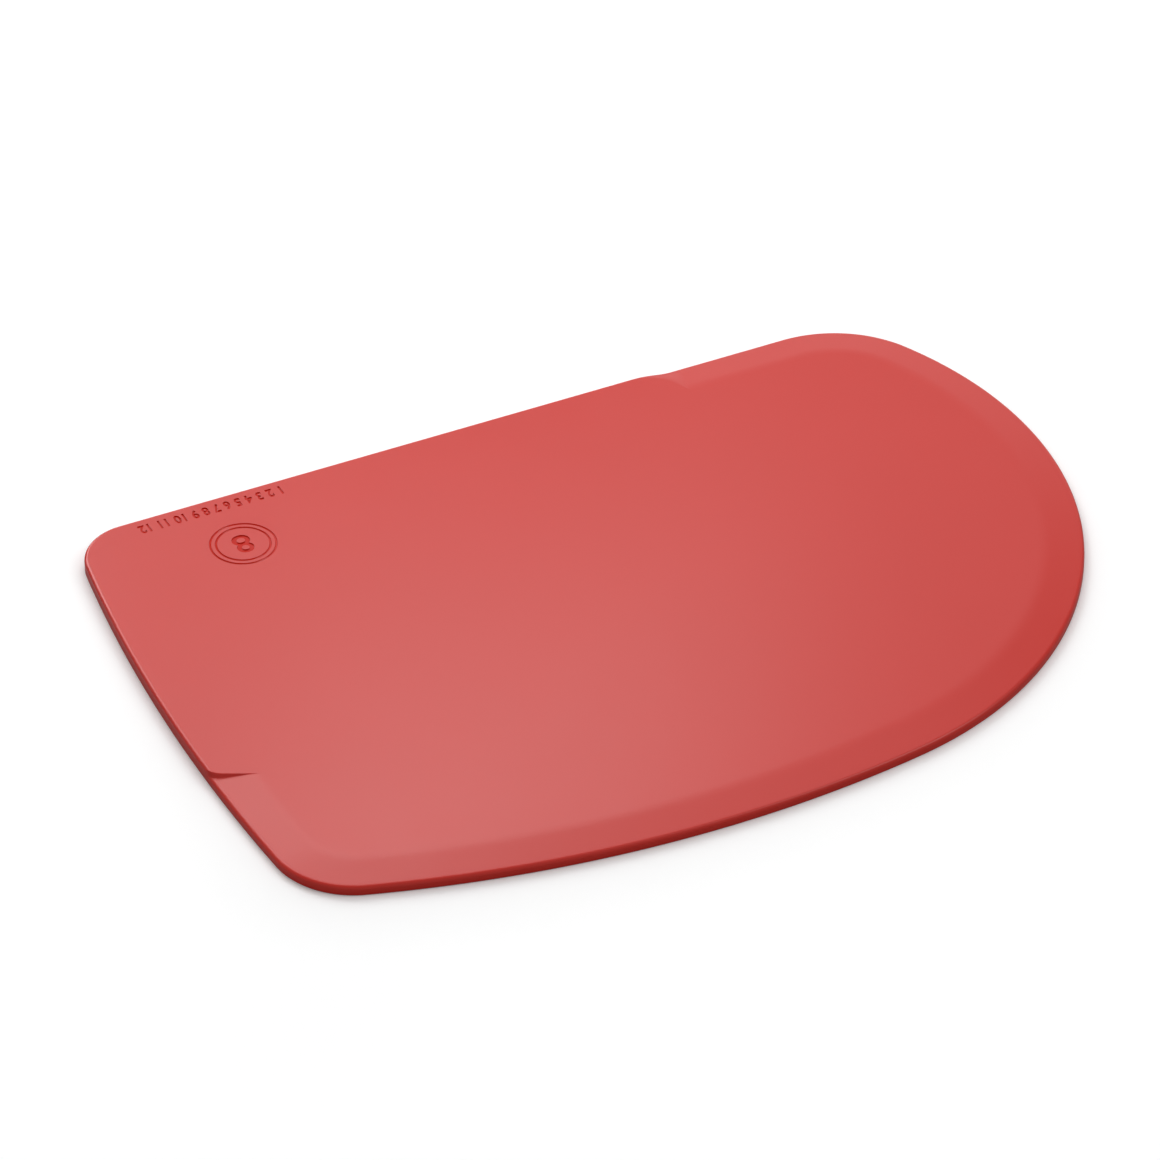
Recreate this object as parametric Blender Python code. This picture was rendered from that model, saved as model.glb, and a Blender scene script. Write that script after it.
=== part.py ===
"""Dough scraper, moulded in one piece from a tough, slightly springy plastic.

Metres, +Z up. The sheet lies on its flat underside, with the middle of its box at the origin.
Seen from above, the straight long edge is at +Y, the slightly bowed short edge at -X, the round
nose at +X and the long belly at -Y. The corner between the long and the short edge, the toe, is
where a hand holds it: the rim keeps its full thickness there, and this is the grip. All the way
round the other side, over shoulder, nose, belly and heel, the top slopes down to a thinner
scraping edge, the blade. The slope ends at both ends of the grip in a slanting step, the run-out.
"""

import math

import bpy
import numpy as np

# Plan of the sheet
LENGTH = 0.148  # short edge to nose
WIDTH = 0.102  # long edge to belly
TOE_RADIUS = 0.0085  # corner between short edge and long edge
SHOULDER_RADIUS = 0.0185  # corner between long edge and nose
NOSE_RADIUS = 0.062
BELLY_RADIUS = 0.184
BELLY_APEX = 0.067  # from the short edge to where the belly reaches furthest
HEEL_RADIUS = 0.013  # corner between belly and short edge
SHORT_EDGE_RADIUS = 0.325
SHORT_EDGE_APEX = 0.054  # from the long edge to where the short edge bows out furthest

# Section of the sheet
THICKNESS = 0.0023
RIM_RADIUS = 0.0005  # upper rim, all round
FOOT_RADIUS = 0.0003  # lower rim, all round

# Blade
BLADE_WIDTH = 0.006  # from the edge to where the slope would meet the flat top
BLADE_THICKNESS = 0.00155  # at its edge
BLADE_BLEND = 0.001  # half the width over which the slope rounds into the flat top

# Grip and run-outs, measured along the edge from either end of the toe's round
GRIP_ON_LONG_EDGE = 0.0894
GRIP_ON_SHORT_EDGE = 0.0534
LONG_RUNOUT_SLANT = 0.0035  # how far the step's line moves along the edge over the blade's width
SHORT_RUNOUT_SLANT = 0.0032
LONG_RUNOUT_STEP = 0.0065  # length of the step from flat top to slope, at the edge
SHORT_RUNOUT_STEP = 0.0008
LONG_RUNOUT_CORNER_RADIUS = 0.008  # where the step's line meets the edge
SHORT_RUNOUT_CORNER_RADIUS = 0.003

# Fineness of the facets
FACET_LENGTH = 0.004
FACET_TURN = math.radians(6)
RUNOUT_FACET = 0.00025
RUNOUT_MARGIN = 0.018  # stretch either side of a run-out in which the sections lean with it
FOOT_STEPS = 2
RIM_STEPS = 5
SLOPE_STEPS = 7
SLOPE_CROWDING = 1.5  # more than 1 draws the slope's points towards the edge
BLEND_STEPS = 4
LEAST_SHARE = 0.001  # of the step's length, kept where the slope comes to its end
SHARP_ANGLE = math.radians(35)

PLASTIC_RED = (0.584, 0.0137, 0.0097, 1.0)
PLASTIC_ROUGHNESS = 0.38


def blend_centre(first, first_reach, second, second_reach):
    """Lower left centre that lies first_reach from one centre and second_reach from another."""
    gap = second - first
    distance = np.hypot(*gap)
    along = (first_reach**2 - second_reach**2 + distance**2) / (2 * distance)
    aside = math.sqrt(first_reach**2 - along**2)
    ahead = gap / distance
    left = np.array([-ahead[1], ahead[0]])
    corners = (first + along * ahead + aside * left, first + along * ahead - aside * left)
    return min(corners, key=sum)


def bearing(start, end):
    """Direction from one point to another, as an angle from +X."""
    return math.atan2(end[1] - start[1], end[0] - start[0])


def outline():
    """Edge of the sheet, clockwise from where the long edge leaves the toe: a straight, then arcs.

    Gives where each piece begins, its first outward angle, its curvature and its length.
    """
    nose_x = LENGTH / 2 - NOSE_RADIUS
    belly = np.array([BELLY_APEX - LENGTH / 2, BELLY_RADIUS - WIDTH / 2])
    nose_drop = math.sqrt((BELLY_RADIUS - NOSE_RADIUS) ** 2 - (nose_x - belly[0]) ** 2)
    nose = np.array([nose_x, belly[1] - nose_drop])
    short = np.array([SHORT_EDGE_RADIUS - LENGTH / 2, WIDTH / 2 - SHORT_EDGE_APEX])
    heel = blend_centre(belly, BELLY_RADIUS - HEEL_RADIUS, short, SHORT_EDGE_RADIUS - HEEL_RADIUS)
    shoulder_y = WIDTH / 2 - SHOULDER_RADIUS
    shoulder_reach = math.sqrt((NOSE_RADIUS - SHOULDER_RADIUS) ** 2 - (shoulder_y - nose[1]) ** 2)
    shoulder = np.array([nose[0] + shoulder_reach, shoulder_y])
    toe_y = WIDTH / 2 - TOE_RADIUS
    toe_reach = math.sqrt((SHORT_EDGE_RADIUS - TOE_RADIUS) ** 2 - (toe_y - short[1]) ** 2)
    toe = np.array([short[0] - toe_reach, toe_y])

    radii = np.array(
        [SHOULDER_RADIUS, NOSE_RADIUS, BELLY_RADIUS, HEEL_RADIUS, SHORT_EDGE_RADIUS, TOE_RADIUS]
    )
    up = math.pi / 2
    joints = np.array(
        [
            up,
            bearing(nose, shoulder),
            bearing(belly, nose),
            bearing(belly, heel),
            bearing(short, heel),
            bearing(short, toe),
            up,
        ]
    )
    sweeps = np.mod(joints[:-1] - joints[1:], 2 * math.pi)
    angles = up - np.concatenate([[0.0, 0.0], np.cumsum(sweeps[:-1])])
    curvatures = np.concatenate([[0.0], 1 / radii])
    lengths = np.concatenate([[shoulder[0] - toe[0]], radii * sweeps])
    steps = chord(angles, curvatures, lengths)
    begins = toe + [0.0, TOE_RADIUS] + np.cumsum(steps, axis=0) - steps
    return begins, angles, curvatures, lengths


def chord(angle, curvature, length):
    """Step from the start of an arc to a point on it; with no curvature the arc is a straight."""
    middle = angle - curvature * length / 2
    reach = length * np.sinc(curvature * length / (2 * np.pi))
    return np.stack([reach * np.sin(middle), -reach * np.cos(middle)], axis=-1)


BEGINS, ANGLES, CURVATURES, LENGTHS = outline()
STARTS = np.concatenate([[0.0], np.cumsum(LENGTHS)])
PERIMETER = STARTS[-1]
BLADE_START = GRIP_ON_LONG_EDGE
BLADE_END = STARTS[-2] - GRIP_ON_SHORT_EDGE


def plan_point(along, inset):
    """Point that lies inset from the edge, square to it, at a distance along the edge."""
    along = np.mod(along, PERIMETER)
    piece = np.searchsorted(STARTS[1:-1], along, side="right")
    past = along - STARTS[piece]
    edge = BEGINS[piece] + chord(ANGLES[piece], CURVATURES[piece], past)
    outward = ANGLES[piece] - CURVATURES[piece] * past
    return edge - inset[..., None] * np.stack([np.cos(outward), np.sin(outward)], axis=-1)


def smooth(value):
    """0 below 0, 1 above 1 and an even S between."""
    value = np.clip(value, 0.0, 1.0)
    return value * value * (3 - 2 * value)


RUN_OUTS = (
    (BLADE_START, 1, LONG_RUNOUT_SLANT, LONG_RUNOUT_STEP, LONG_RUNOUT_CORNER_RADIUS),
    (BLADE_END, -1, SHORT_RUNOUT_SLANT, SHORT_RUNOUT_STEP, SHORT_RUNOUT_CORNER_RADIUS),
)


def near(along, place, radius):
    """1 within a corner's radius of a place on the edge, fading to 0 at RUNOUT_MARGIN."""
    return smooth((RUNOUT_MARGIN - np.abs(along - place)) / (RUNOUT_MARGIN - radius))


def lean(along):
    """How far a section moves along the edge for each metre that it goes in."""
    moves = [way * near(along, place, radius) * slant for place, way, slant, _, radius in RUN_OUTS]
    return sum(moves) / BLADE_WIDTH


def corner_shift(inset, slant, radius):
    """How far the rounded corner of a step's line lies back from the straight, near the edge."""
    ratio = slant / BLADE_WIDTH
    turn = math.atan2(1, ratio)
    tangent = radius * math.tan(turn / 2)
    arc_depth = radius * (1 - math.cos(turn))
    depth = np.minimum(inset, arc_depth)
    arc = np.sqrt(2 * radius * depth - depth**2)
    return ratio * depth + tangent - arc


def slope_share(inset):
    """Depth of the blade's slope as a share of its depth at the edge.

    The slope is straight, and a parabola rounds it into the flat top.
    """
    left = np.clip(BLADE_WIDTH + BLADE_BLEND - inset, 0.0, 2 * BLADE_BLEND)
    rounded = left**2 / (4 * BLADE_BLEND)
    straight = np.maximum(BLADE_WIDTH - BLADE_BLEND - inset, 0.0)
    return (rounded + straight) / BLADE_WIDTH


def fall(along, inset):
    """How far the top lies under the flat: nothing in the grip, the slope's depth in the blade.

    Past the line of a run-out it goes down in an S, which is as long as the step at the edge and
    gets shorter inwards, as the slope gets less deep.
    """
    share = slope_share(inset)
    past = [
        (way * (along - place) + corner_shift(inset, slant, radius)) / step
        for place, way, slant, step, radius in RUN_OUTS
    ]
    thinned = smooth(np.minimum(*past) / np.maximum(share, LEAST_SHARE))
    return (THICKNESS - BLADE_THICKNESS) * share * thinned


def furthest():
    """Distances along the edge at which it reaches furthest to +X, -Y and -X."""
    outward = np.array([0.0, -math.pi / 2, -math.pi])
    piece = np.searchsorted(-ANGLES, -outward) - 1
    return STARTS[piece] + (ANGLES[piece] - outward) / CURVATURES[piece]


def stations():
    """Distances along the edge at which the sheet gets a section, closer at the run-outs."""
    fine = [
        sorted((place - way * radius, place + way * step)) for place, way, _, step, radius in RUN_OUTS
    ]
    marks = sorted([*STARTS, *furthest(), *np.ravel(fine)])
    places = []
    for start, end in zip(marks, marks[1:]):
        middle = (start + end) / 2
        curvature = CURVATURES[np.searchsorted(STARTS[1:-1], middle, side="right")]
        step = min(FACET_LENGTH, FACET_TURN / max(curvature, FACET_TURN / FACET_LENGTH))
        if any(low < middle < high for low, high in fine):
            step = RUNOUT_FACET
        count = math.ceil((end - start) / step)
        places.append(np.linspace(start, end, count, endpoint=False))
    return np.concatenate(places)


def sheet_points():
    """Grid of points: one row a section, from the underside over the rim to the flat top."""
    along = stations()[:, None]
    in_blade = (along > BLADE_START) & (along < BLADE_END)
    leaning = sum(near(along, place, radius) for place, _, _, _, radius in RUN_OUTS)
    reach = np.where(in_blade, 1.0, leaning)
    depth = TOE_RADIUS / 2 + reach * (BLADE_WIDTH + BLADE_BLEND - TOE_RADIUS / 2)

    foot = np.linspace(0.0, math.pi / 2, FOOT_STEPS + 1)
    foot_inset = FOOT_RADIUS * (1 - np.sin(foot))
    foot_height = FOOT_RADIUS * (1 - np.cos(foot))

    rim = np.linspace(0.0, math.pi / 2, RIM_STEPS + 1)
    rim_inset = RIM_RADIUS * (1 - np.cos(rim))
    rim_drop = RIM_RADIUS * (1 - np.sin(rim))
    blend_start = (BLADE_WIDTH - BLADE_BLEND - RIM_RADIUS) / (BLADE_WIDTH + BLADE_BLEND - RIM_RADIUS)
    slope = blend_start * np.linspace(0.0, 1.0, SLOPE_STEPS + 1)[1:] ** SLOPE_CROWDING
    blend = np.linspace(blend_start, 1.0, BLEND_STEPS + 1)[1:]
    share = np.concatenate([slope, blend])
    rows = np.ones_like(along)
    top_inset = np.concatenate([rows * rim_inset, RIM_RADIUS + share * (depth - RIM_RADIUS)], axis=1)
    top_drop = np.concatenate([rim_drop, np.zeros_like(share)])
    top_height = THICKNESS - fall(along, top_inset) - top_drop

    inset = np.concatenate([rows * foot_inset, top_inset], axis=1)
    height = np.concatenate([rows * foot_height, top_height], axis=1)
    plan = plan_point(along + lean(along) * inset, inset)
    return np.concatenate([plan, height[..., None]], axis=-1)


def sheet_mesh(name):
    """Skin between the sections, closed by the flat underside and the flat top."""
    points = sheet_points()
    sections, levels = points.shape[:2]
    index = np.arange(sections * levels).reshape(sections, levels)
    ahead = np.roll(index, -1, axis=0)
    skin = np.stack([index[:, :-1], index[:, 1:], ahead[:, 1:], ahead[:, :-1]], axis=-1)
    faces = skin.reshape(-1, 4).tolist()
    faces.append(index[:, 0].tolist())
    faces.append(index[::-1, -1].tolist())
    mesh = bpy.data.meshes.new(name)
    mesh.from_pydata(points.reshape(-1, 3).tolist(), [], faces)
    mesh.shade_smooth()
    mesh.set_sharp_from_angle(angle=SHARP_ANGLE)
    return mesh


def moulded_plastic():
    """Red plastic with the satin skin of a polished mould."""
    material = bpy.data.materials.new("moulded_red_plastic")
    material.use_nodes = True
    surface = material.node_tree.nodes["Principled BSDF"]
    surface.inputs["Base Color"].default_value = PLASTIC_RED
    surface.inputs["Roughness"].default_value = PLASTIC_ROUGHNESS
    surface.inputs["Metallic"].default_value = 0.0
    return material


for leftover in list(bpy.data.objects):
    bpy.data.objects.remove(leftover, do_unlink=True)

parts = bpy.data.collections.new("dough_scraper")
bpy.context.scene.collection.children.link(parts)
body = bpy.data.objects.new("scraper_body", sheet_mesh("scraper_body"))
body.data.materials.append(moulded_plastic())
parts.objects.link(body)
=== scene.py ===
import math

import bpy
import numpy as np
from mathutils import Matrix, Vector


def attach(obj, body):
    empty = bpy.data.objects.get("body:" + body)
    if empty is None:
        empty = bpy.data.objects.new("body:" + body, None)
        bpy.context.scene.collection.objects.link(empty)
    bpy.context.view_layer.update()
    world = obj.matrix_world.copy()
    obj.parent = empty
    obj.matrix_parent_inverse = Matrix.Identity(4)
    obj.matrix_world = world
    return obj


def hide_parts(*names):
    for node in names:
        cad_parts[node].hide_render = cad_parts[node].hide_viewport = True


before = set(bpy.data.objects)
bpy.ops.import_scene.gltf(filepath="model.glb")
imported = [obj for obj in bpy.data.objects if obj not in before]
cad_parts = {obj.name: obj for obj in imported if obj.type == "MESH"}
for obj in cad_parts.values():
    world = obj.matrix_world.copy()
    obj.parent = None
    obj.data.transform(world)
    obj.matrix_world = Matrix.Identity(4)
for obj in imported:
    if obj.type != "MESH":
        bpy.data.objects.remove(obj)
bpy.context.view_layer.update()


# Scraper body
#
# The whole tool is one moulding of red polypropylene, a stiff sheet that still bends a little.
# The mould rounds both rims. On the blade side the upper face slopes down to a thinner edge, and
# the slope ends in a slanting step at each end of the grip, where the rim keeps its full thickness.

LENGTH = 0.148
WIDTH = 0.102
TOE_RADIUS = 0.0085
SHOULDER_RADIUS = 0.0185
NOSE_RADIUS = 0.062
BELLY_RADIUS = 0.184
BELLY_APEX = 0.067
HEEL_RADIUS = 0.013
SHORT_EDGE_RADIUS = 0.325
SHORT_EDGE_APEX = 0.054

THICKNESS = 0.0023
RIM_RADIUS = 0.0005
FOOT_RADIUS = 0.0003
BLADE_WIDTH = 0.006
BLADE_THICKNESS = 0.00155
BLADE_BLEND = 0.001

GRIP_ON_LONG_EDGE = 0.0894
GRIP_ON_SHORT_EDGE = 0.0534
LONG_RUNOUT_SLANT = 0.0035
SHORT_RUNOUT_SLANT = 0.0032
LONG_RUNOUT_STEP = 0.0065
SHORT_RUNOUT_STEP = 0.0008
LONG_RUNOUT_CORNER = 0.008
SHORT_RUNOUT_CORNER = 0.003
RUNOUT_MARGIN = 0.018
LEAST_SHARE = 0.001


def bearing(start, end):
    """Direction from one point to another: the arc tangent of rise over run."""
    return math.atan2(end[1] - start[1], end[0] - start[0])


def chord(angle, curvature, length):
    """Step along an arc: its length times sin(t) / t for half its turn t, square to the middle normal."""
    middle = angle - curvature * length / 2
    reach = length * np.sinc(curvature * length / (2 * np.pi))
    return np.stack([reach * np.sin(middle), -reach * np.cos(middle)], axis=-1)


def outline():
    """Edge of the sheet, clockwise from the long edge's left end: a straight, then tangent arcs.

    Each arc's centre lies at the difference of two radii from its neighbours' centres. Gives where
    each piece begins, its first outward angle, its curvature and its length.
    """
    nose_x = LENGTH / 2 - NOSE_RADIUS
    belly = np.array([BELLY_APEX - LENGTH / 2, BELLY_RADIUS - WIDTH / 2])
    nose_drop = math.sqrt((BELLY_RADIUS - NOSE_RADIUS) ** 2 - (nose_x - belly[0]) ** 2)
    nose = np.array([nose_x, belly[1] - nose_drop])
    short = np.array([SHORT_EDGE_RADIUS - LENGTH / 2, WIDTH / 2 - SHORT_EDGE_APEX])
    to_belly, to_short = BELLY_RADIUS - HEEL_RADIUS, SHORT_EDGE_RADIUS - HEEL_RADIUS
    gap = short - belly
    distance = np.hypot(*gap)
    ahead = gap / distance
    along = (to_belly**2 - to_short**2 + distance**2) / (2 * distance)
    aside = math.sqrt(to_belly**2 - along**2) * np.array([-ahead[1], ahead[0]])
    heel = min((belly + along * ahead + aside, belly + along * ahead - aside), key=sum)
    shoulder_y = WIDTH / 2 - SHOULDER_RADIUS
    shoulder_reach = math.sqrt((NOSE_RADIUS - SHOULDER_RADIUS) ** 2 - (shoulder_y - nose[1]) ** 2)
    toe_y = WIDTH / 2 - TOE_RADIUS
    toe_reach = math.sqrt((SHORT_EDGE_RADIUS - TOE_RADIUS) ** 2 - (toe_y - short[1]) ** 2)
    shoulder = np.array([nose[0] + shoulder_reach, shoulder_y])
    toe = np.array([short[0] - toe_reach, toe_y])

    radii = np.array(
        [SHOULDER_RADIUS, NOSE_RADIUS, BELLY_RADIUS, HEEL_RADIUS, SHORT_EDGE_RADIUS, TOE_RADIUS]
    )
    up = math.pi / 2
    turns = [bearing(nose, shoulder), bearing(belly, nose), bearing(belly, heel)]
    turns += [bearing(short, heel), bearing(short, toe)]
    joints = np.array([up, *turns, up])
    sweeps = np.mod(joints[:-1] - joints[1:], 2 * math.pi)
    angles = up - np.concatenate([[0.0, 0.0], np.cumsum(sweeps[:-1])])
    curvatures = np.concatenate([[0.0], 1 / radii])
    lengths = np.concatenate([[shoulder[0] - toe[0]], radii * sweeps])
    steps = chord(angles, curvatures, lengths)
    begins = toe + [0.0, TOE_RADIUS] + np.cumsum(steps, axis=0) - steps
    return begins, angles, curvatures, lengths


begins, angles, curvatures, lengths = outline()
starts = np.concatenate([[0.0], np.cumsum(lengths)])
perimeter = starts[-1]
blade_start = GRIP_ON_LONG_EDGE
blade_end = starts[-2] - GRIP_ON_SHORT_EDGE


def plan_point(along, inset):
    """Point at a distance along the edge, moved inset against the outward normal."""
    along = np.mod(along, perimeter)
    piece = np.searchsorted(starts[1:-1], along, side="right")
    past = along - starts[piece]
    edge = begins[piece] + chord(angles[piece], curvatures[piece], past)
    outward = angles[piece] - curvatures[piece] * past
    return edge - inset[..., None] * np.stack([np.cos(outward), np.sin(outward)], axis=-1)


def smooth(value):
    """Even S from 0 to 1: 3 t squared minus 2 t cubed."""
    value = np.clip(value, 0.0, 1.0)
    return value * value * (3 - 2 * value)


# place along the edge, way into the blade, slant, length of the step, radius of its corner
RUN_OUTS = (
    (blade_start, 1, LONG_RUNOUT_SLANT, LONG_RUNOUT_STEP, LONG_RUNOUT_CORNER),
    (blade_end, -1, SHORT_RUNOUT_SLANT, SHORT_RUNOUT_STEP, SHORT_RUNOUT_CORNER),
)


def near(along, place, corner):
    """1 within a corner radius of a place on the edge, an S down to 0 at the margin."""
    return smooth((RUNOUT_MARGIN - np.abs(along - place)) / (RUNOUT_MARGIN - corner))


def lean(along):
    """Slant over blade width: how far a section moves along the edge for each metre inwards."""
    shifts = [way * near(along, place, corner) * slant for place, way, slant, _, corner in RUN_OUTS]
    return sum(shifts) / BLADE_WIDTH


def corner_shift(inset, slant, corner):
    """Gap between a step's straight line and the arc that rounds it into the edge."""
    ratio = slant / BLADE_WIDTH
    turn = math.atan2(1, ratio)
    tangent = corner * math.tan(turn / 2)
    depth = np.minimum(inset, corner * (1 - math.cos(turn)))
    return ratio * depth + tangent - np.sqrt(2 * corner * depth - depth**2)


def slope_share(inset):
    """Blade slope's depth over its depth at the edge: a straight with a parabola at its inner end."""
    left = np.clip(BLADE_WIDTH + BLADE_BLEND - inset, 0.0, 2 * BLADE_BLEND)
    straight = np.maximum(BLADE_WIDTH - BLADE_BLEND - inset, 0.0)
    return (left**2 / (4 * BLADE_BLEND) + straight) / BLADE_WIDTH


def fall(along, inset):
    """Depth under the flat: an S from 0 down to the slope's, past each run-out's line.

    The S takes the step's whole length at the edge, and less of it where the slope is less deep.
    """
    share = slope_share(inset)
    past = [
        (way * (along - place) + corner_shift(inset, slant, corner)) / step
        for place, way, slant, step, corner in RUN_OUTS
    ]
    thinned = smooth(np.minimum(*past) / np.maximum(share, LEAST_SHARE))
    return (THICKNESS - BLADE_THICKNESS) * share * thinned


SECTION_GAP = 0.0008
SECTION_TURN = math.radians(1.5)
RUNOUT_GAP = 0.00007
FOOT_STEPS = 5
RIM_STEPS = 8
SLOPE_STEPS = 20
BLEND_STEPS = 8
GRIP_REACH = TOE_RADIUS / 2


def stations():
    """Distances along the edge of the sections: even steps on each stretch, fine at the run-outs."""
    fine = []
    for place, way, _, step, corner in RUN_OUTS:
        fine.append(sorted((place - way * corner, place + way * step)))
    outward = np.array([0.0, -math.pi / 2, -math.pi])
    piece = np.searchsorted(-angles, -outward) - 1
    furthest = starts[piece] + (angles[piece] - outward) / curvatures[piece]
    marks = sorted([*starts, *furthest, *np.ravel(fine)])
    places = []
    for start, end in zip(marks, marks[1:]):
        middle = (start + end) / 2
        curvature = curvatures[np.searchsorted(starts[1:-1], middle, side="right")]
        step = min(SECTION_GAP, SECTION_TURN / max(curvature, 1.0))
        if any(low < middle < high for low, high in fine):
            step = RUNOUT_GAP
        places.append(np.linspace(start, end, math.ceil((end - start) / step), endpoint=False))
    return np.concatenate(places)


def sheet_grid():
    """Height and inset over two parameters, distance along the edge and way over the rim.

    Foot and rim are quarter circles, the wall is straight, and the top is thickness minus fall. The
    rows go in past the slope, and less far on the grip.
    """
    along = stations()[:, None]
    in_blade = (along > blade_start) & (along < blade_end)
    reach = np.where(in_blade, 1.0, sum(near(along, place, corner) for place, *_, corner in RUN_OUTS))
    depth = GRIP_REACH + reach * (BLADE_WIDTH + BLADE_BLEND - GRIP_REACH)
    foot = np.linspace(0.0, math.pi / 2, FOOT_STEPS + 1)
    rim = np.linspace(0.0, math.pi / 2, RIM_STEPS + 1)
    blend_start = (BLADE_WIDTH - BLADE_BLEND - RIM_RADIUS) / (BLADE_WIDTH + BLADE_BLEND - RIM_RADIUS)
    slope = np.linspace(0.0, blend_start, SLOPE_STEPS + 1)[1:]
    blend = np.linspace(blend_start, 1.0, BLEND_STEPS + 1)[1:]
    share = np.concatenate([slope, blend])
    rows = np.ones_like(along)
    rim_inset = rows * RIM_RADIUS * (1 - np.cos(rim))
    top_inset = np.concatenate([rim_inset, RIM_RADIUS + share * (depth - RIM_RADIUS)], axis=1)
    top_drop = np.concatenate([RIM_RADIUS * (1 - np.sin(rim)), np.zeros_like(share)])
    top_height = THICKNESS - fall(along, top_inset) - top_drop
    inset = np.concatenate([rows * FOOT_RADIUS * (1 - np.sin(foot)), top_inset], axis=1)
    height = np.concatenate([rows * FOOT_RADIUS * (1 - np.cos(foot)), top_height], axis=1)
    plan = plan_point(along + lean(along) * inset, inset)
    return np.concatenate([plan, height[..., None]], axis=-1)


def placed(data):
    """New object in the scene, with its data and its name."""
    made = bpy.data.objects.new(data.name, data)
    bpy.context.scene.collection.objects.link(made)
    return made


def closed_skin(name, grid):
    """Quads between neighbouring rows of a ring-shaped grid, closed below and above by a flat face."""
    sections, levels = grid.shape[:2]
    index = np.arange(sections * levels).reshape(sections, levels)
    ahead = np.roll(index, -1, axis=0)
    quads = np.stack([index[:, :-1], index[:, 1:], ahead[:, 1:], ahead[:, :-1]], axis=-1)
    faces = quads.reshape(-1, 4).tolist() + [index[:, 0].tolist(), index[::-1, -1].tolist()]
    mesh = bpy.data.meshes.new(name)
    mesh.from_pydata(grid.reshape(-1, 3).tolist(), [], faces)
    return placed(mesh)


scraper = closed_skin("moulded_sheet", sheet_grid())


# Moulder's marks
#
# Shallow cuts in the flat face beside the long edge, smoother than the skin around them: a row of
# plain month numbers, and a double ring with the number of the mould's cavity. They read from the
# long edge's side.

MARK_DEPTH = 0.00016
NUMBER_SIZE = 0.0027
NUMBER_GAP = 1.06
STROKE_GAIN = 0.00009
STROKE_STEPS = 4
ROW_CENTRE = (-0.0482, 0.0484)
ROW_LENGTH = 0.0235
RING_CENTRE = (-0.0472, 0.0385)
RING_RADII = (0.0050, 0.0041)
RING_GROOVE = 0.00018
RING_SECTIONS = 96
GROOVE_SIDES = 10
CAVITY_SIZE = 0.0062
CUT_LIMIT = 0.000001
SHARP_ANGLE = math.radians(35)


def number_cutter(text, size, centre, width=None):
    """Solid numerals through the top face, twice as deep as the marks, turned half round."""
    curve = bpy.data.curves.new("number_cutter", "FONT")
    curve.body = text
    curve.size = size
    curve.space_character = NUMBER_GAP
    curve.align_x = "CENTER"
    curve.align_y = "CENTER"
    curve.extrude = 2 * MARK_DEPTH
    curve.offset = STROKE_GAIN
    curve.resolution_u = STROKE_STEPS
    made = placed(curve)
    bpy.context.view_layer.update()
    graph = bpy.context.evaluated_depsgraph_get()
    mesh = bpy.data.meshes.new_from_object(made.evaluated_get(graph))
    bpy.data.objects.remove(made)
    points = np.empty(3 * len(mesh.vertices))
    mesh.vertices.foreach_get("co", points)
    points = points.reshape(-1, 3)
    points[:, :2] -= (points[:, :2].max(axis=0) + points[:, :2].min(axis=0)) / 2
    if width:
        points[:, 0] *= width / np.ptp(points[:, 0])
    points[:, :2] = np.array(centre) - points[:, :2]
    points[:, 2] += THICKNESS
    mesh.vertices.foreach_set("co", points.ravel())
    return placed(mesh)


def ring_cutter(radius, centre):
    """Torus: a small circle of the groove's radius carried round a large one on the top face."""
    turn = np.linspace(0.0, 2 * math.pi, RING_SECTIONS, endpoint=False)[:, None]
    roll = np.linspace(0.0, 2 * math.pi, GROOVE_SIDES, endpoint=False)[None, :]
    reach = radius + RING_GROOVE * np.cos(roll)
    height = THICKNESS + RING_GROOVE * np.sin(roll) + 0 * turn
    across, beside = centre[0] + reach * np.cos(turn), centre[1] + reach * np.sin(turn)
    grid = np.stack([across, beside, height], axis=-1)
    index = np.arange(grid[..., 0].size).reshape(RING_SECTIONS, GROOVE_SIDES)
    ahead, above = np.roll(index, -1, axis=0), np.roll(index, -1, axis=1)
    both = np.roll(ahead, -1, axis=1)
    faces = np.stack([index, ahead, both, above], axis=-1).reshape(-1, 4)
    mesh = bpy.data.meshes.new("ring_cutter")
    mesh.from_pydata(grid.reshape(-1, 3).tolist(), [], faces.tolist())
    return placed(mesh)


def combine(piece, other, operation, crossing=False):
    """Leaves a piece its solid less the other one, or what both share, and clears faces that cross."""
    step = piece.modifiers.new("combination", "BOOLEAN")
    step.object = other
    step.operation = operation
    step.solver = "EXACT"
    step.use_self = crossing
    bpy.context.view_layer.update()
    graph = bpy.context.evaluated_depsgraph_get()
    result = bpy.data.meshes.new_from_object(piece.evaluated_get(graph))
    piece.modifiers.clear()
    piece.data = result
    bpy.data.objects.remove(other)


def slab(low, high):
    """Square block between two heights, its corners a sheet's length from the middle."""
    turn = -math.pi / 2 * np.arange(4)[:, None] + np.zeros(2)
    grid = np.stack([LENGTH * np.cos(turn), LENGTH * np.sin(turn), (low, high) + 0 * turn], axis=-1)
    return closed_skin("slab", grid)


months = number_cutter(" ".join(str(month) for month in range(1, 13)), NUMBER_SIZE, ROW_CENTRE, ROW_LENGTH)
cavity = number_cutter("8", CAVITY_SIZE, RING_CENTRE)
for numerals in (months, cavity):
    combine(numerals, slab(THICKNESS - MARK_DEPTH, 2 * THICKNESS), "INTERSECT", crossing=True)
    combine(scraper, numerals, "DIFFERENCE")
for radius in RING_RADII:
    combine(scraper, ring_cutter(radius, RING_CENTRE), "DIFFERENCE")


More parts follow.
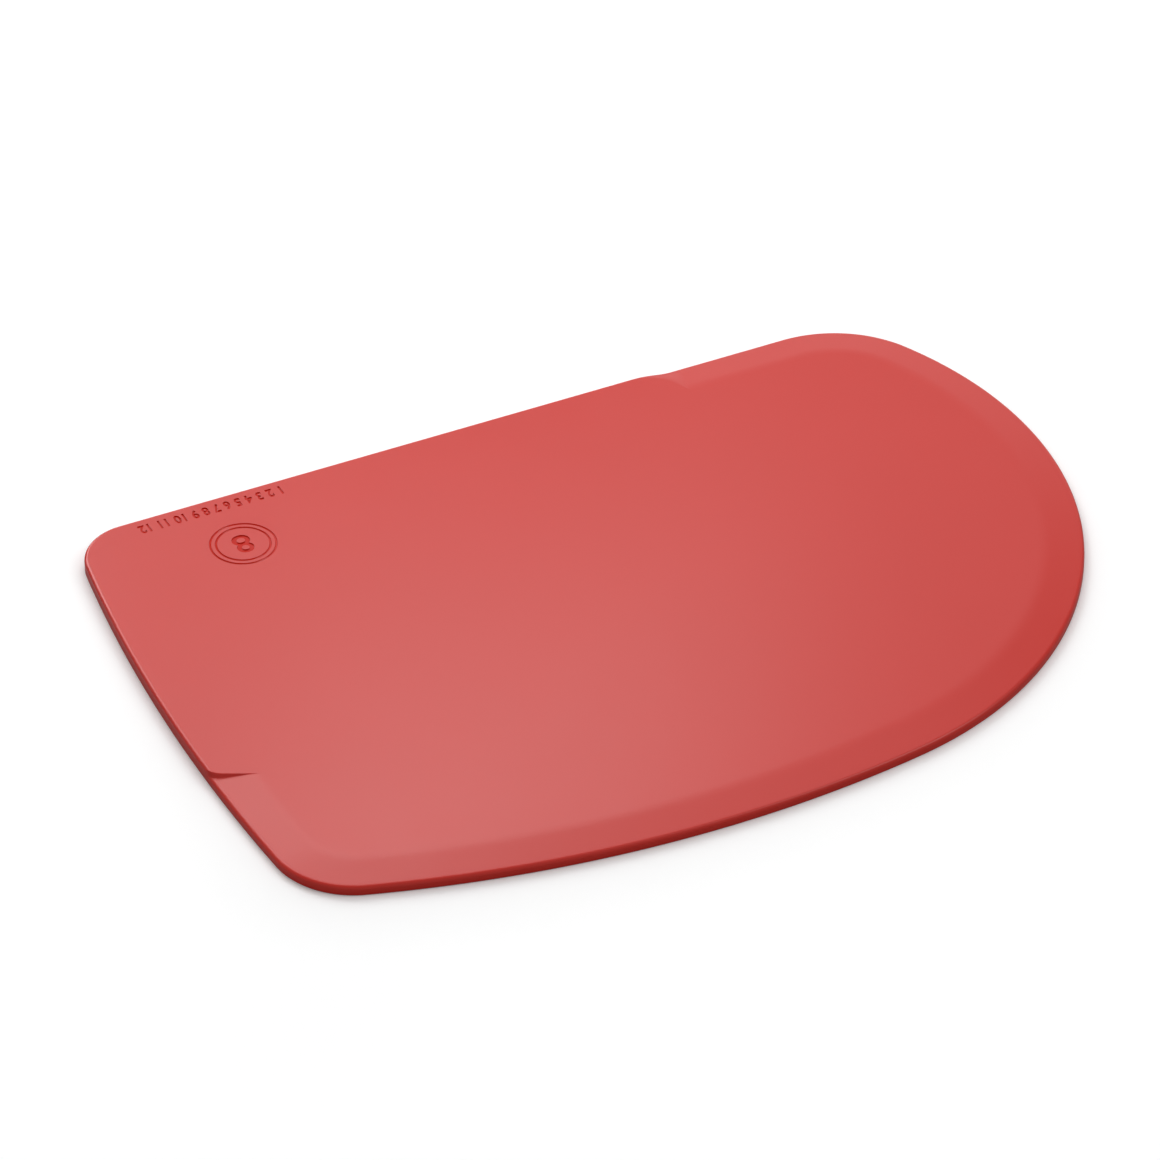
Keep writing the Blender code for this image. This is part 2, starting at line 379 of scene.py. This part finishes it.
def note_cuts(mesh, name):
    """Face values: 1 on the faces of the cuts, which lie just under the flat beside the row, else 0."""
    centres = np.empty(3 * len(mesh.polygons))
    mesh.polygons.foreach_get("center", centres)
    x, y, z = centres.reshape(-1, 3).T
    beside_row = (np.abs(x - ROW_CENTRE[0]) < ROW_LENGTH) & (y < WIDTH / 2 - RIM_RADIUS) & (y > 0.0)
    cut = beside_row & (z > THICKNESS - 2 * RING_GROOVE) & (z < THICKNESS - CUT_LIMIT)
    layer = mesh.attributes.new(name, "FLOAT", "FACE")
    layer.data.foreach_set("value", cut.astype(np.float32))


note_cuts(scraper.data, "cut")
scraper.data.shade_smooth()
scraper.data.set_sharp_from_angle(angle=SHARP_ANGLE)


# Plastic
#
# Polypropylene coloured through with an opaque red and moulded against a finely sparked steel face:
# the skin spreads a reflection into an even haze, and the flow leaves faint, broad clouds in it. The
# marks' cutter left no such grain, so their faces reflect more sharply and look a deeper red.

FLOW_CLOUD = 0.030
SKIN_CLOUD = 0.006
SPARK_GRAIN = 0.00018  # the real grain is about a third of this, too fine for the render
GRAIN_HEIGHT = 0.0000015
RIPPLE = 0.004
RIPPLE_HEIGHT = 0.000004
SKIN_ROUGHNESS = (0.29, 0.35)
CUT_ROUGHNESS = 0.1
MIX_A, MIX_B, MIX_RESULT = 6, 7, 2  # a mix node's sockets for colours


def linear(code):
    """sRGB hex to linear: c / 12.92 below 0.04045, else ((c + 0.055) / 1.055) to the power 2.4."""
    srgb = np.array([int(code[start:start + 2], 16) for start in (0, 2, 4)]) / 255
    rgb = np.where(srgb <= 0.04045, srgb / 12.92, ((srgb + 0.055) / 1.055) ** 2.4)
    return (*rgb.tolist(), 1.0)


def add(material, kind, settings=None, values=None, links=None):
    """One node with its settings, its sockets' values and the sockets that feed it."""
    made = material.node_tree.nodes.new(kind)
    for name, value in (settings or {}).items():
        setattr(made, name, value)
    for name, value in (values or {}).items():
        made.inputs[name].default_value = value
    for name, socket in (links or {}).items():
        material.node_tree.links.new(socket, made.inputs[name])
    return made


def fresh_material(name):
    """A node material with no nodes in it yet."""
    material = bpy.data.materials.new(name)
    material.use_nodes = True
    material.node_tree.nodes.clear()
    return material


plastic = fresh_material("moulded_polypropylene")
place = add(plastic, "ShaderNodeTexCoord").outputs["Object"]


def noise(size, detail):
    """Noise over the piece whose blotches have a real size, in more than one layer if detailed."""
    values = {"Scale": 1 / size, "Detail": detail}
    return add(plastic, "ShaderNodeTexNoise", values=values, links={"Vector": place}).outputs["Fac"]


red = add(
    plastic,
    "ShaderNodeMix",
    settings={"data_type": "RGBA"},
    values={MIX_A: linear("CB2010"), MIX_B: linear("C71E0C")},
    links={"Factor": noise(FLOW_CLOUD, 2.0)},
)
rough = add(
    plastic,
    "ShaderNodeMapRange",
    values={"To Min": SKIN_ROUGHNESS[0], "To Max": SKIN_ROUGHNESS[1]},
    links={"Value": noise(SKIN_CLOUD, 3.0)},
)
engraved = add(plastic, "ShaderNodeAttribute", settings={"attribute_name": "cut"})
polish = add(
    plastic,
    "ShaderNodeMix",
    values={"B": CUT_ROUGHNESS},
    links={"Factor": engraved.outputs["Fac"], "A": rough.outputs["Result"]},
)
waves = add(
    plastic,
    "ShaderNodeBump",
    values={"Distance": RIPPLE_HEIGHT},
    links={"Height": noise(RIPPLE, 1.0)},
)
bumps = add(
    plastic,
    "ShaderNodeBump",
    values={"Distance": GRAIN_HEIGHT},
    links={"Height": noise(SPARK_GRAIN, 1.0), "Normal": waves.outputs["Normal"]},
)
surface = add(
    plastic,
    "ShaderNodeBsdfPrincipled",
    values={"IOR": 1.49, "Metallic": 0.0},
    links={
        "Base Color": red.outputs[MIX_RESULT],
        "Roughness": polish.outputs["Result"],
        "Normal": bumps.outputs["Normal"],
    },
)
add(plastic, "ShaderNodeOutputMaterial", links={"Surface": surface.outputs["BSDF"]})

scraper.data.materials.clear()
scraper.data.materials.append(plastic)
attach(scraper, "root")
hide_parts("scraper_body")


# Table
#
# A wide sheet of matt white paper, which keeps the scraper's soft shadow. A little glow that only the
# camera sees rises with the distance from the scraper. It is weakest next to the scraper, which paints a
# soft shadow round it, wider than the one the lamps cast, and further out it brings the bare paper to
# white. What the scraper mirrors of it, and the light it throws back onto the scraper, is a darker grey.

TABLE_REACH = 3.0
TABLE_SECTIONS = 480
# Glow at distances out from the scraper's outline: the low levels next to it paint a soft shadow round the
# scraper, and the higher ones further out bring the bare paper to white.
GLOW_DISTANCES = (0.0, 0.014, 0.070, TABLE_REACH)
GLOW_LEVELS_WITH_PAINTED_SHADOW = (0.1025, 0.1675, 0.225, 0.225)


def table_rings():
    """Flat rings round the scraper: its outline moved outward by each distance, with a glow level on each,
    low next to it for a painted shadow.
    """
    along = np.linspace(0.0, perimeter, TABLE_SECTIONS, endpoint=False)[:, None]
    inset = -np.array(GLOW_DISTANCES) + 0 * along
    plan = plan_point(along + 0 * inset, inset)
    grid = np.concatenate([plan, np.zeros_like(plan[..., :1])], axis=-1)
    index = np.arange(inset.size).reshape(inset.shape)
    ahead = np.roll(index, -1, axis=0)
    quads = np.stack([index[:, :-1], ahead[:, :-1], ahead[:, 1:], index[:, 1:]], axis=-1)
    faces = quads.reshape(-1, 4).tolist() + [index[::-1, 0].tolist()]
    mesh = bpy.data.meshes.new("table")
    mesh.from_pydata(grid.reshape(-1, 3).tolist(), [], faces)
    # Glow level on each ring: the low inner levels are painted shadow round the scraper.
    layer = mesh.attributes.new("glow_with_painted_shadow", "FLOAT", "POINT")
    layer.data.foreach_set("value", (np.array(GLOW_LEVELS_WITH_PAINTED_SHADOW) + 0 * along).astype(np.float32).ravel())
    return mesh


table = placed(table_rings())
paper = fresh_material("matt_white_paper")
seen = add(paper, "ShaderNodeLightPath").outputs["Is Camera Ray"]
shade = add(
    paper,
    "ShaderNodeMix",
    settings={"data_type": "RGBA"},
    values={MIX_A: linear("AAAAAA"), MIX_B: linear("FAFAFA")},
    links={"Factor": seen},
)
matt = add(paper, "ShaderNodeBsdfDiffuse", links={"Color": shade.outputs[MIX_RESULT]})
level = add(paper, "ShaderNodeAttribute", settings={"attribute_name": "glow_with_painted_shadow"}).outputs["Fac"]
# Glow that only the camera sees, weakest next to the scraper: painted shadow round it.
glow_level = add(paper, "ShaderNodeMath", settings={"operation": "MULTIPLY"}, links={0: seen, 1: level})
glow_with_painted_shadow = add(paper, "ShaderNodeEmission", links={"Strength": glow_level.outputs["Value"]})
both = add(paper, "ShaderNodeAddShader", links={0: matt.outputs["BSDF"], 1: glow_with_painted_shadow.outputs["Emission"]})
add(paper, "ShaderNodeOutputMaterial", links={"Surface": both.outputs["Shader"]})
table.data.materials.append(paper)


# Lamps
#
# A dim even room with large soft boxes round the scraper, three of them beyond it, one above the
# other, for its far bevels. Small ones close to it put a haze on the belly's side, which is strongest
# at the corner with the short edge and fades towards the nose.

ROOM_LEVEL = 0.4445

world = bpy.data.worlds.new("room")
world.use_nodes = True
world.node_tree.nodes["Background"].inputs["Color"].default_value = (1.0, 1.0, 1.0, 1.0)
world.node_tree.nodes["Background"].inputs["Strength"].default_value = ROOM_LEVEL
bpy.context.scene.world = world


def soft_box(name, azimuth, elevation, distance, size, power, target=(0.0, 0.0, 0.0)):
    """Lamp that faces a target from a distance, in degrees round from +X and above the table."""
    turn, rise = math.radians(azimuth), math.radians(elevation)
    level = math.cos(rise)
    way = Vector((level * math.cos(turn), level * math.sin(turn), math.sin(rise)))
    light = bpy.data.lights.new(name, "AREA")
    light.shape = "RECTANGLE"
    light.size, light.size_y = size
    light.energy = power
    made = placed(light)
    made.location = Vector(target) + distance * way
    made.rotation_euler = way.to_track_quat("Z", "Y").to_euler()


soft_box("far_high", 64, 60, 1.2, size=(0.8, 0.5), power=1.53)
soft_box("far_middle", 64, 26, 1.2, size=(1.2, 0.4), power=0.64)
soft_box("far_low", 64, 14, 1.5, size=(1.6, 0.5), power=1.82)
soft_box("left", 95, 35, 0.9, size=(0.5, 0.4), power=2.27, target=(-0.030, -0.020, 0.0))
soft_box("right", -30, 50, 1.2, size=(0.6, 0.6), power=2.44)
soft_box("near_left", 63, 38, 0.3, size=(0.1, 0.1), power=0.038, target=(-0.043, -0.040, 0.0))
soft_box("near_belly", 64, 42, 0.25, size=(0.08, 0.08), power=0.0215, target=(-0.052, -0.042, 0.0))
soft_box("near_heel", 69, 51, 0.18, size=(0.05, 0.05), power=0.0131, target=(-0.062, -0.040, 0.0))
soft_box("near_right", 63, 38, 0.35, size=(0.12, 0.12), power=0.020, target=(0.045, -0.025, 0.0))


# Camera
#
# A long lens about a metre away, looking down on the sheet at 37 degrees over the corner between
# the short edge and the belly.

PHOTO_SIDE = 1160
FOCAL_PIXELS = 6986
SENSOR = 36.0
CAMERA_PLACE = Vector((-0.3700, -0.7369, 0.6354))
CAMERA_TARGET = Vector((-0.004344, 0.010875, 0.0))

lens = bpy.data.cameras.new("camera")
lens.sensor_width = SENSOR
lens.lens = SENSOR * FOCAL_PIXELS / PHOTO_SIDE
camera = placed(lens)
camera.location = CAMERA_PLACE
camera.rotation_euler = (CAMERA_TARGET - CAMERA_PLACE).to_track_quat("-Z", "Y").to_euler()
bpy.context.scene.camera = camera
bpy.context.scene.view_settings.view_transform = "Standard"
